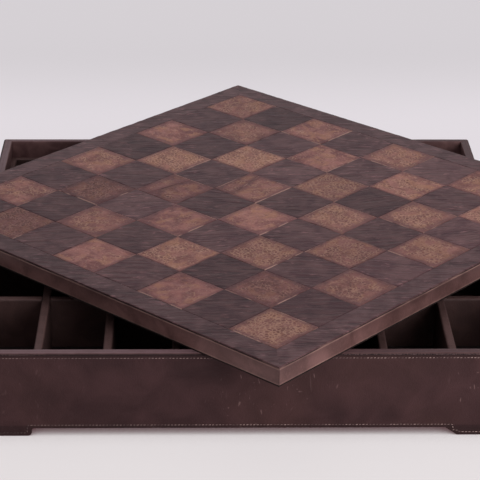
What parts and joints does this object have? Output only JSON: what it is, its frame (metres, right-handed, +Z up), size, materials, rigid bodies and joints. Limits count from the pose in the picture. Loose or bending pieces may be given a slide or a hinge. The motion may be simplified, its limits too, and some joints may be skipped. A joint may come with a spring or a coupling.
{
  "type": "chess box with lift-off board",
  "caption": "Square leather-covered box of open compartments on corner feet, with a loose chequered playing board lying turned on its rim.",
  "frame": {"origin": "middle of the case's footprint, on the plane that its feet stand on", "axes": "+X to the right along the front of the case, +Y from its front to its back, +Z up"},
  "size_m": [0.6248, 0.6248, 0.09],
  "materials": {
    "case_leather": "dark chocolate hide, waxed, faintly mottled and scratched",
    "rim_leather": "the same hide folded over the rim, rubbed paler along the edge",
    "divider_leather": "thin dark brown hide over thin board, paler on its top edge",
    "board_edge_leather": "smooth warm brown hide strip",
    "border_leather": "dark grey-brown hide, wrinkled",
    "dark_square_leather": "dark grey-brown wrinkled hide",
    "light_square_leather": "reddish tan hide with a crackled, pebbled grain",
    "suede_lining": "dark brown suede",
    "fibreboard": "fibreboard, covered all over",
    "case_wood": "plain wood, covered by leather and lining",
    "felt": "dark felt"
  },
  "bodies": {
    "case": {"back_cross_divider": "divider_leather", "back_leather": "case_leather", "back_left_foot": "case_wood", "back_left_pad": "felt", "back_right_foot": "case_wood", "back_right_pad": "felt", "back_rim": "rim_leather", "back_tray_wall": "divider_leather", "back_wall": "case_wood", "bottom_panel": "case_wood", "column_divider_1": "divider_leather", "column_divider_2": "divider_leather", "column_divider_3": "divider_leather", "column_divider_4": "divider_leather", "column_divider_5": "divider_leather", "column_divider_6": "divider_leather", "column_divider_7": "divider_leather", "compartment_floor": "suede_lining", "front_cross_divider": "divider_leather", "front_leather": "case_leather", "front_left_foot": "case_wood", "front_left_pad": "felt", "front_right_foot": "case_wood", "front_right_pad": "felt", "front_rim": "rim_leather", "front_tray_wall": "divider_leather", "front_wall": "case_wood", "left_leather": "case_leather", "left_rim": "rim_leather", "left_tray_wall": "divider_leather", "left_wall": "case_wood", "middle_cross_divider": "divider_leather", "right_leather": "case_leather", "right_rim": "rim_leather", "right_tray_wall": "divider_leather", "right_wall": "case_wood", "underside_cover": "suede_lining"},
    "board": {"board_core": "fibreboard", "board_lining": "suede_lining", "dark_squares": "dark_square_leather", "file_a_border": "border_leather", "file_a_edge": "board_edge_leather", "file_h_border": "border_leather", "file_h_edge": "board_edge_leather", "light_squares": "light_square_leather", "rank_1_border": "border_leather", "rank_1_edge": "board_edge_leather", "rank_8_border": "border_leather", "rank_8_edge": "board_edge_leather"}
  },
  "joints": [
    {"name": "board_lift", "type": "slide", "parent": "case", "child": "board", "axis": [0, 0, 1], "range_m": [0, 0.12]}
  ]
}
